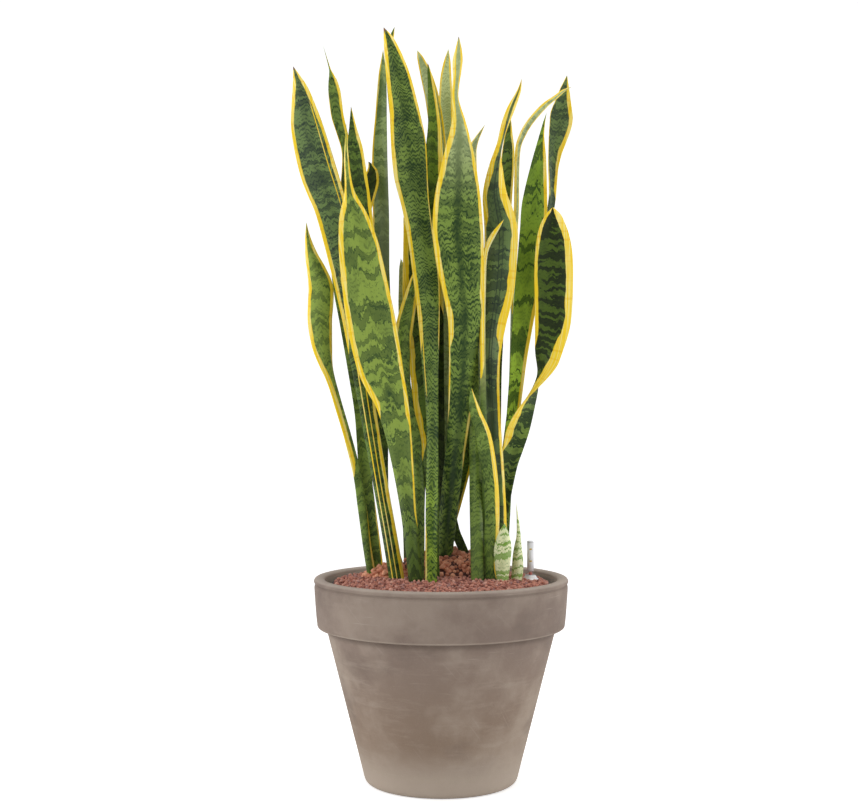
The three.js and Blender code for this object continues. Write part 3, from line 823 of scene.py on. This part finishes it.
def margin_at(spans, height):
    """The margin's width in mm at a height in mm: spans hold a width, a lowest and a highest."""
    widest = 0
    for width, low, high in spans:
        fade = min(1, max(0, (height - low) / 25)) * min(1, max(0, (high - height) / 25))
        widest = max(widest, width * fade)
    return widest


def leaf_mesh(node, values, settings):
    """A closed fleshy blade with thin rounded margins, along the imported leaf's own line."""
    sections = leaf_sections(leaf_rings(node), settings.ring)
    around = settings.around
    rows = len(sections) - 1
    whole = sections[-1][6]
    mesh = bmesh.new()
    mesh.loops.layers.uv.new("blade")
    bmesh.ops.create_grid(mesh, x_segments=around, y_segments=rows, size=0.5, calc_uvs=True)
    layers = {name: mesh.verts.layers.float.new(name)
              for name in ("across", "reach", "half_width", "margin", "to_tip")}
    for vert in mesh.verts:
        angle = (vert.co.x + 0.5) * math.tau
        centre, across, through, width, hollow, thick, reach = \
            sections[round((vert.co.y + 0.5) * rows)]
        u = math.cos(angle)
        depth = math.sin(angle)
        half = width / 2 * 0.985
        # From 0 on a flat blade to 1 on a round stem
        stem = max(0.0, min(1.0, (0.045 - width) / 0.025))
        curl = hollow * (1 + 1.7 * stem) * abs(u) ** (2 - 0.3 * stem)
        ripple = settings.ripple * min(1, width / 0.05) * abs(u) ** 3
        ripple *= 2 * noise.noise(Vector((reach * 16, values["shift"] * 3.1,
                                          2.0 if u > 0 else 5.0)))
        body = 0.5 * (thick + 0.0022 * stem * min(1, width / 0.01))
        skin = body * abs(depth) ** (1.7 - 0.95 * stem) * (1 if depth > 0 else -1)
        vert.co = centre + across * (u * half) + through * (skin + curl + ripple)
        spans = values["right"] if u > 0 else values["left"]
        vert[layers["across"]] = u
        vert[layers["reach"]] = reach
        vert[layers["half_width"]] = half
        margin = margin_at(spans, centre.z / MM) * MM
        vert[layers["margin"]] = min(margin, (0.5 if margin > 8 * MM else 0.26) * width)
        vert[layers["to_tip"]] = whole - reach
    bmesh.ops.remove_doubles(mesh, verts=mesh.verts, dist=0.00001)
    rim = [edge for edge in mesh.edges if edge.is_boundary]
    if rim:
        bmesh.ops.edgeloop_fill(mesh, edges=rim)
    bmesh.ops.recalc_face_normals(mesh, faces=mesh.faces)
    return mesh


# Greens of a leaf: its light ground and its dark bands
GREENS = {
    "fresh": (srgb(150, 174, 76), srgb(54, 78, 40)),
    "lime": (srgb(166, 200, 64), srgb(46, 76, 20)),
    "bright": (srgb(122, 152, 44), srgb(42, 68, 18)),
    "middle": (srgb(130, 156, 68), srgb(42, 66, 30)),
    "silver": (srgb(190, 204, 146), srgb(96, 116, 88)),
    "slate": (srgb(112, 136, 78), srgb(42, 56, 46)),
    "deep": (srgb(98, 124, 48), srgb(28, 46, 18)),
    "night": (srgb(84, 108, 34), srgb(28, 40, 14)),
    "pale": (srgb(186, 198, 142), srgb(118, 138, 84)),
    # Very pale greens: partly the leaf's own colour, partly a painted reflection
    "frost_and_painted_sheen": (srgb(208, 218, 164), srgb(158, 174, 118)),
    "mist": (srgb(160, 182, 116), srgb(64, 92, 50)),
    "cream": (srgb(236, 226, 158), srgb(188, 188, 116)),
    # Near black: painted shade for leaves that sit deep in the plant's shadow
    "black": (srgb(62, 80, 26), srgb(16, 26, 8)),
    "pup": (srgb(252, 255, 208), srgb(104, 158, 12)),
}

# A height in mm above every tip
TOP = 2000


def look(greens, left=(), right=(), bands=(0.6, 16), waves=(0.5, 7, 0.4), jag=3.0, crest=0.4,
         centre=0.0, lines=(), folds=(), foot=None, tip=0.0, bloom=0.0, fill=0.7, tone=1.0,
         cover=-0.02, base=0.3):
    """How one leaf is coloured, with lengths in mm. The left and right margins are lists of
    (width, lowest, highest). A yellow line, or painted shade along a crease, is (place across,
    width, lowest, highest). Bands are (strength, pitch) and waves (strength, pitch, thinness).
    Jag and crest are how ragged and how peaked they are, centre how dark the middle is. Foot is
    the greens below a height, tip the dry tip's length and bloom the strength
    of the grey patches, a waxy coating mixed with painted sheen. Fill is how dark a band is
    between its borders, cover how much the bands take, tone how light the greens are, and base
    how much painted shade darkens the leaf towards its foot."""
    return dict(locals())


LOOKS = {
    "leaf_01": look("slate", [(5, 640, TOP)], [(5, 700, TOP), (5, 262, 600)], (0.85, 10),
                    (0.7, 6, 0.4), 3, 0.5, 0.3,
                    [(0.62, 1.4, 850, 1020), (-0.5, 1.5, 262, 760), (0.08, 1.4, 262, 620)],
                    foot=("deep", 640), tip=8, tone=1.1),
    "leaf_02": look("fresh", [(5, 455, TOP)], [(4.5, 560, TOP), (2.5, 262, 500)], (0.7, 13),
                    (0.5, 8, 0.6), 4, 0.8, foot=("middle", 520)),
    "leaf_03": look("fresh", [(7.5, 545, TOP)], [(5.5, 520, TOP), (2.5, 380, 600)], (0.9, 15),
                    (0.45, 9, 0.8), 5, 1.3, foot=("deep", 420), fill=0.65, tone=0.96),
    "leaf_04": look("middle", [(1, 850, 1040)], [(4, 700, TOP), (2, 262, 420)], (0.8, 11),
                    (0.5, 8, 0.5), tip=5),
    "leaf_05": look("deep", [], [(4.5, 700, TOP)], (0.9, 10), (0.4, 7, 0.4), cover=0.0),
    # A leaf in deep shadow: its near-black greens are painted shade
    "leaf_06": look("black", [(3, 800, TOP)], [(4, 800, TOP)]),
    "leaf_07": look("mist", [(2.5, 800, TOP)], [], (0.7, 11), (0.4, 7, 0.6), bloom=0.45,
                    foot=("middle", 760), tone=1.1),
    "leaf_08": look("middle", [(6, 640, TOP), (2.6, 262, 392)], [(4, 960, TOP), (1.6, 640, 1000)],
                    (0.6, 30), (0.85, 6.2, 0.15), 3.4, 0.7, 0.25, [(-0.7, 1.3, 570, 700)],
                    foot=("lime", 430), tip=10, tone=0.95, cover=0.0, base=0.15),
    # Pale top: partly the leaf's own grey-green, partly a painted reflection
    "leaf_09": look("frost_and_painted_sheen", [(7.5, 640, TOP), (2, 530, 700)], [(4.5, 700, TOP), (4, 465, 570)],
                    (0.75, 13), (0.85, 8.5, 0.3), 3.4, 0.5, 0.9, foot=("middle", 930), tip=6,
                    cover=-0.01),
    # Near-black greens low down: painted shade behind the leaves in front
    "leaf_10": look("bright", [], [(8, 700, TOP)], (0.8, 10), (0.5, 7, 0.5), tip=8, tone=0.95,
                    foot=("black", 860)),
    "leaf_11": look("pale", [(2, 700, TOP)], [(2.5, 700, TOP)], (0.5, 8), (0.4, 6, 0.4), tone=1.1),
    "leaf_12": look("pale", [(3, 700, TOP)], [(3, 700, TOP)], (0.4, 7), (0.5, 5, 0.3), tone=1.2),
    "leaf_13": look("silver", [(2.5, 900, TOP)], [(1, 900, TOP)], (0.6, 9), (0.5, 6, 0.4),
                    foot=("middle", 860)),
    "leaf_14": look("slate", [(7, 820, TOP), (2.5, 540, TOP)], [(12, 640, TOP), (4, 300, 700)],
                    (0.9, 13), (0.4, 8, 0.7), 2, 0.1, 0.35,
                    folds=[(-0.12, 1.2, 560, 960), (0.1, 1, 520, 900)],
                    foot=("deep", 560), bloom=0.2, tone=0.92, cover=0.0),
    "leaf_15": look("cream", [(4, 600, TOP)], [(3, 600, TOP)], (0.3, 12), (0.3, 7, 0.5),
                    foot=("deep", 640)),
    "leaf_16": look("middle", [], [(7, 300, TOP)], (0.7, 13), (0.6, 7, 0.4), 4, 0.8),
    "leaf_17": look("deep", [], [(3.5, 345, TOP)], (0.7, 12), (0.6, 6, 0.3)),
    "leaf_18": look("deep", [], [(2.5, 400, TOP)], (0.7, 12), (0.6, 6, 0.3)),
    "leaf_19": look("deep", [(1, 800, TOP)], [(3, 800, TOP)], (0.9, 10), (0.4, 7, 0.5)),
    "leaf_20": look("silver", [(2.5, 700, TOP)], [(2, 700, TOP)], (0.6, 9), (0.3, 7, 0.5),
                    foot=("middle", 620)),
    "leaf_21": look("slate", [(1, 880, TOP)], [(6, 880, TOP)], (0.8, 11), (0.6, 7, 0.4)),
    "leaf_22": look("night", [(5, 640, TOP)], [(11, 600, TOP), (14, 490, 690)], (0.95, 11),
                    (0.3, 5, 0.6), 1.4, 0.1, foot=("middle", 600), fill=0.9, cover=0.02,
                    tone=0.85),
    "leaf_23": look("bright", [], [(5, 500, TOP)], (0.95, 14), (0.3, 8, 0.6), 5, 1.3, fill=0.8,
                    foot=("lime", 700), tone=1.3),
    "leaf_24": look("middle", [], [(2, 900, TOP)]),
    "leaf_25": look("middle", [(5, 500, TOP)], [(4, 640, TOP)], (0.7, 12), (0.6, 7, 0.4), 5),
    "leaf_26": look("pale", [], [], (0.3, 14)),
    "leaf_27": look("deep", [(10, 480, TOP)], [(2, 600, TOP)], (0.7, 14), (0.6, 7, 0.4)),
    "pup_01": look("pup", [], [], (0.9, 7), (0.4, 6, 0.9), 3, 0.5, fill=0.8, cover=-0.03, base=0),
    "pup_02": look("pup", [], [], (0.9, 7), (0.4, 6, 0.9), 3, 0.3, fill=0.8, cover=-0.03, base=0),
}
# Each leaf's noise starts at a place of its own
for number, leaf in enumerate(LOOKS.values()):
    leaf["shift"] = 3.7 * number + 1.3


def toned(greens, tone):
    """The two colours of the named greens, lighter or darker by a factor."""
    return [tuple(channel * tone for channel in colour) for colour in GREENS[greens]]


def leaf_material(name, settings):
    values = LOOKS[name]
    light, dark = toned(values["greens"], values["tone"])
    material, tree, shader = new_material(f"{name} skin")
    across = attribute(tree, "across")
    reach = attribute(tree, "reach")
    half = attribute(tree, "half_width")
    _, _, height = split(object_place(tree))
    if values["foot"]:
        greens, top = values["foot"]
        low_light, low_dark = toned(greens, values["tone"])
        rise = step(height, (top - 90) * MM, (top + 90) * MM)
        light = blend(rise, low_light, light)
        dark = blend(rise, low_dark, dark)
    bands, band_pitch = values["bands"]
    waves, wave_pitch, thin = values["waves"]
    banding = use_group(tree, shared(banding_group), across=across, reach=reach,
                        half_width=half, light=light, dark=dark, bands=bands,
                        band_pitch=band_pitch, waves=waves, wave_pitch=wave_pitch, thin=thin,
                        **{key: values[key] for key in
                           ("shift", "jag", "crest", "centre", "fill", "cover")})
    # Painted shade: darker towards the foot, among the crowded stems
    colour = blend(step(reach, 0.02, 0.2, values["base"], 0.0), banding["Color"], dark)
    patches = cloud(vector(across * 0.8, reach * 9.0, values["shift"]), 1.0, 2.0)
    # Grey patches: a waxy coating mixed with painted sheen
    if values["bloom"]:
        colour = blend(step(patches, 0.45, 0.65, 0.0, values["bloom"]), colour,
                       srgb(158, 172, 150))

    def line_mask(place, width, low, high):
        return use_group(tree, shared(line_group), across=across, half_width=half,
                         place=place, height=height, width=width * MM, start=low * MM,
                         end=high * MM)["Mask"]

    # Painted shade along the creases
    for fold in values["folds"]:
        colour = blend(line_mask(*fold) * 0.8, colour, dark)
    margin = use_group(tree, shared(margin_group), across=across, reach=reach,
                       half_width=half, margin=attribute(tree, "margin"), shift=values["shift"],
                       yellow=tuple(settings.yellow), cream=tuple(settings.cream))
    mask = margin["Mask"]
    for line in values["lines"]:
        mask = calc("MAXIMUM", mask, line_mask(*line))
    colour = blend(mask, colour, margin["Color"])
    if values["tip"]:
        length = values["tip"] * MM
        dry = step(attribute(tree, "to_tip"), length * 0.5, length, 0.9, 0.0)
        colour = blend(dry, colour, srgb(112, 72, 48))
    paint(shader, colour, step(patches, 0.3, 0.7, 0.38, 0.52))
    shader.inputs["Specular IOR Level"].default_value = 0.22
    bump(shader, banding["Height"], 0.25, 0.0004)
    return material


def grow(names, slot, settings):
    """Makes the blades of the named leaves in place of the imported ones."""
    for name in names:
        piece(f"{name}_blade", leaf_mesh(name, LOOKS[name], settings),
              leaf_material(name, settings), slot, [name])


class SNAKEPLANT_OT_leaves(bpy.types.Operator):
    """Grows the tall yellow-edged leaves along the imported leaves' lines"""
    bl_idname = "snakeplant.leaves"
    bl_label = "Leaves"

    def execute(self, context):
        grow(LEAF_NODES, "leaf", context.scene.snakeplant_leaves)
        return {"FINISHED"}


class SNAKEPLANT_OT_pups(bpy.types.Operator):
    """Grows the two short pale young leaves"""
    bl_idname = "snakeplant.pups"
    bl_label = "Young leaves"

    def execute(self, context):
        grow(PUP_NODES, "pup_leaf", context.scene.snakeplant_leaves)
        return {"FINISHED"}


class SNAKEPLANT_OT_roots(bpy.types.Operator):
    """Gives the rhizomes and the culture pot below the granules their finishes"""
    bl_idname = "snakeplant.roots"
    bl_label = "Rhizomes and culture pot"

    def execute(self, context):
        material, tree, shader = new_material("rhizome skin")
        rings = cloud(stretched(object_place(tree), (20, 20, 160)), 1.0, 3.0)
        paint(shader, ramp(rings, [(0.3, srgb(150, 112, 64)), (0.7, srgb(206, 170, 112))]),
              step(rings, 0.3, 0.7, 0.6, 0.85))
        bump(shader, rings, 0.4, 0.0008)
        for name in RHIZOME_NODES:
            dress(name, material)
        dress("culture_pot", plastic_material("black culture pot", srgb(34, 34, 35)))
        return {"FINISHED"}


# Water gauge

class SNAKEPLANT_OT_gauge(bpy.types.Operator):
    """Makes the clear water gauge with its level marks and its red float"""
    bl_idname = "snakeplant.gauge"
    bl_label = "Water gauge"

    def execute(self, context):
        settings = context.scene.snakeplant_gauge
        clear, tree, shader = new_material("clear plastic")
        place = object_place(tree)
        haze = cloud(place, 160.0, 2.0)
        paint(shader, blend(step(haze, 0.4, 0.7, 0.0, 0.2), tuple(settings.clear),
                            srgb(232, 236, 244)), step(haze, 0.3, 0.7, 0.1, 0.22))
        # A clear zone, through which the resting marker shows
        _, _, height = split(place)
        window = abs(height - 0.3103)
        feed(shader.inputs["Alpha"], step(window, 0.0026, 0.004, 0.08, 0.94))
        collar = [(3.2, 298.3), (13.2, 298.3), (13.7, 298.9), (13.6, 300), (12.4, 301),
                  (10, 303.2), (8.4, 305.6), (7.5, 307.2), (6, 307.3), (5.3, 307), (5.3, 300.3),
                  (3.2, 300.3), (3.2, 298.3)]
        piece("collar", turned(collar, 40, GAUGE_PLACE), clear, "gauge_clear",
              ["gauge_collar"])
        tube = [(3.9, 300.6), (5, 300.6), (5, 355.5), (3.9, 355.5), (3.9, 300.6)]
        piece("tube", turned(tube, 32, GAUGE_PLACE), clear, "gauge_clear", ["gauge_tube"])
        cap = [(0, 351.8), (3.2, 351.8), (3.6, 352.2), (3.6, 355.8), (5.1, 355.8), (5.2, 356.4),
               (5.1, 357.4), (4, 358.2), (0, 358.3)]
        piece("cap", turned(cap, 32, GAUGE_PLACE), clear, "gauge_clear", ["gauge_cap"])
        marker, tree, shader = new_material("float plastic")
        place = object_place(tree)
        _, _, height = split(place)
        lit = step(height, 0.3085, 0.3105)
        paint(shader, blend(lit, tuple(settings.red), srgb(206, 84, 50)),
              step(cloud(place, 300.0), 0.3, 0.7, 0.3, 0.42))
        rod = [(0, 200.3), (5.2, 200.3), (5.4, 201), (5.4, 233.6), (4.6, 235), (1.2, 237),
               (1, 238), (1, 303.4), (2.4, 303.8), (2.6, 304.4), (2.6, 310.6), (2.2, 311.3),
               (0, 311.6)]
        piece("float_marker", turned(rod, 24, GAUGE_PLACE), marker, "float_red",
              ["gauge_float"], "float")
        yellow = plastic_material("level marks", tuple(settings.mark), 0.4)
        mark_heights = (328, 346)
        mark_radius = 5.06
        for number, height in enumerate(mark_heights, 1):
            tick = bmesh.new()
            bmesh.ops.create_grid(tick, x_segments=6, y_segments=1, size=0.5)
            for vert in tick.verts:
                angle = vert.co.x * 0.7
                vert.co = Vector(((GAUGE_PLACE[0] + mark_radius * math.sin(angle)) * MM,
                                  (GAUGE_PLACE[1] - mark_radius * math.cos(angle)) * MM,
                                  (height + vert.co.y * 2.2) * MM))
            bmesh.ops.recalc_face_normals(tick, faces=tick.faces)
            bmesh.ops.solidify(tick, geom=tick.faces, thickness=0.05 * MM)
            piece(f"level_mark_{number}", tick, yellow, "gauge_clear")
        dress("gauge_sleeve", plastic_material("black sleeve", srgb(34, 34, 35)))
        return {"FINISHED"}


# Stage

# The photo's view, in metres and mm
EYE = (-0.018, -2.2, 0.566)
LENS = 61.55
SENSOR = 36
# The softbox on the left is this much stronger than the one on the right
LEFT_GAIN = 1.2


class SNAKEPLANT_OT_stage(bpy.types.Operator):
    """Sets the pale floor, the soft lights and the camera"""
    bl_idname = "snakeplant.stage"
    bl_label = "Stage"

    def execute(self, context):
        scene = context.scene
        settings = scene.snakeplant_stage
        scene.view_settings.view_transform = "Standard"
        cove = bmesh.new()
        line = [(-5, 0), (2.5, 0)]
        line += [(2.5 + 2 * math.sin(a * math.pi / 16), 2 - 2 * math.cos(a * math.pi / 16))
                 for a in range(1, 9)]
        line.append((4.5, 6))
        points = [cove.verts.new((-7, y, z)) for y, z in line]
        rails = [cove.edges.new(pair) for pair in zip(points, points[1:])]
        swept = bmesh.ops.extrude_edge_only(cove, edges=rails)["geom"]
        moved = [part for part in swept if isinstance(part, bmesh.types.BMVert)]
        bmesh.ops.translate(cove, verts=moved, vec=(14, 0, 0))
        material, tree, shader = new_material("paper floor")
        paint(shader, tuple(settings.floor), 0.9)
        feed(shader.inputs["Emission Color"], (1, 1, 1))
        seen = Term(put(tree, "ShaderNodeLightPath").outputs["Is Camera Ray"])
        feed(shader.inputs["Emission Strength"], seen * 0.55)
        added("floor", cove, material)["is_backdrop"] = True
        world = bpy.data.worlds.new("studio")
        world.use_nodes = True
        sky = world.node_tree.nodes["Background"]
        feed(sky.inputs["Color"], (1, 1, 1))
        feed(sky.inputs["Strength"], settings.sky)
        scene.world = world
        target = Vector((0, 0, 0.55))
        for name, place, size, power in (
                ("key softbox", (-1.9, -2.4, 2.3), 1.6, settings.key),
                ("fill softbox", (2.3, -1.8, 1.4), 1.8, settings.fill),
                ("left softbox", (-2.5, 0.3, 0.9), 1.5, settings.sides * LEFT_GAIN),
                ("right softbox", (2.5, 0.3, 0.9), 1.5, settings.sides),
                ("top softbox", (0.2, 0.3, 3.0), 1.8, settings.top)):
            light = bpy.data.lights.new(name, "AREA")
            light.size = size
            light.energy = power
            lamp = bpy.data.objects.new(name, light)
            lamp.location = place
            lamp.rotation_euler = (target - Vector(place)).to_track_quat("-Z", "Y").to_euler()
            scene.collection.objects.link(lamp)
        camera = bpy.data.cameras.new("camera")
        camera.sensor_width = SENSOR
        camera.lens = LENS
        eye = bpy.data.objects.new("camera", camera)
        eye.location = EYE
        eye.rotation_euler = (math.radians(90), 0, 0)
        scene.collection.objects.link(eye)
        scene.camera = eye
        return {"FINISHED"}


class SNAKEPLANT_PT_panel(bpy.types.Panel):
    """Lists the pieces of the plant and their settings"""
    bl_idname = "SNAKEPLANT_PT_panel"
    bl_label = "Snake plant"
    bl_space_type = "VIEW_3D"
    bl_region_type = "UI"
    bl_category = "Snake plant"

    def draw(self, context):
        for settings, operators in PARTS:
            box = self.layout.box()
            held = getattr(context.scene, settings)
            for name in held.__annotations__:
                box.prop(held, name)
            for operator in operators:
                box.operator(operator.bl_idname)


SETTINGS = {
    "snakeplant_stage": StageSettings,
    "snakeplant_planter": PlanterSettings,
    "snakeplant_beds": BedSettings,
    "snakeplant_leaves": LeafSettings,
    "snakeplant_gauge": GaugeSettings,
}
PARTS = [
    ("snakeplant_stage", [SNAKEPLANT_OT_stage]),
    ("snakeplant_planter", [SNAKEPLANT_OT_planter]),
    ("snakeplant_beds", [SNAKEPLANT_OT_beds]),
    ("snakeplant_leaves", [SNAKEPLANT_OT_leaves, SNAKEPLANT_OT_pups, SNAKEPLANT_OT_roots]),
    ("snakeplant_gauge", [SNAKEPLANT_OT_gauge]),
]
CLASSES = [*SETTINGS.values(), *[made for _, operators in PARTS for made in operators],
           SNAKEPLANT_PT_panel]


def register():
    for made in CLASSES:
        bpy.utils.register_class(made)
    for name, group in SETTINGS.items():
        setattr(bpy.types.Scene, name, bpy.props.PointerProperty(type=group))


def unregister():
    for name in SETTINGS:
        delattr(bpy.types.Scene, name)
    for made in reversed(CLASSES):
        bpy.utils.unregister_class(made)


def main():
    register()
    bpy.ops.snakeplant.stage()
    bpy.ops.snakeplant.planter()
    bpy.ops.snakeplant.beds()
    bpy.ops.snakeplant.leaves()
    bpy.ops.snakeplant.pups()
    bpy.ops.snakeplant.roots()
    bpy.ops.snakeplant.gauge()
    boxes = {"cad": [list(corner) for corner in CAD_BOX],
             "visual": [list(corner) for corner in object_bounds()]}


if __name__ == "__main__":
    main()
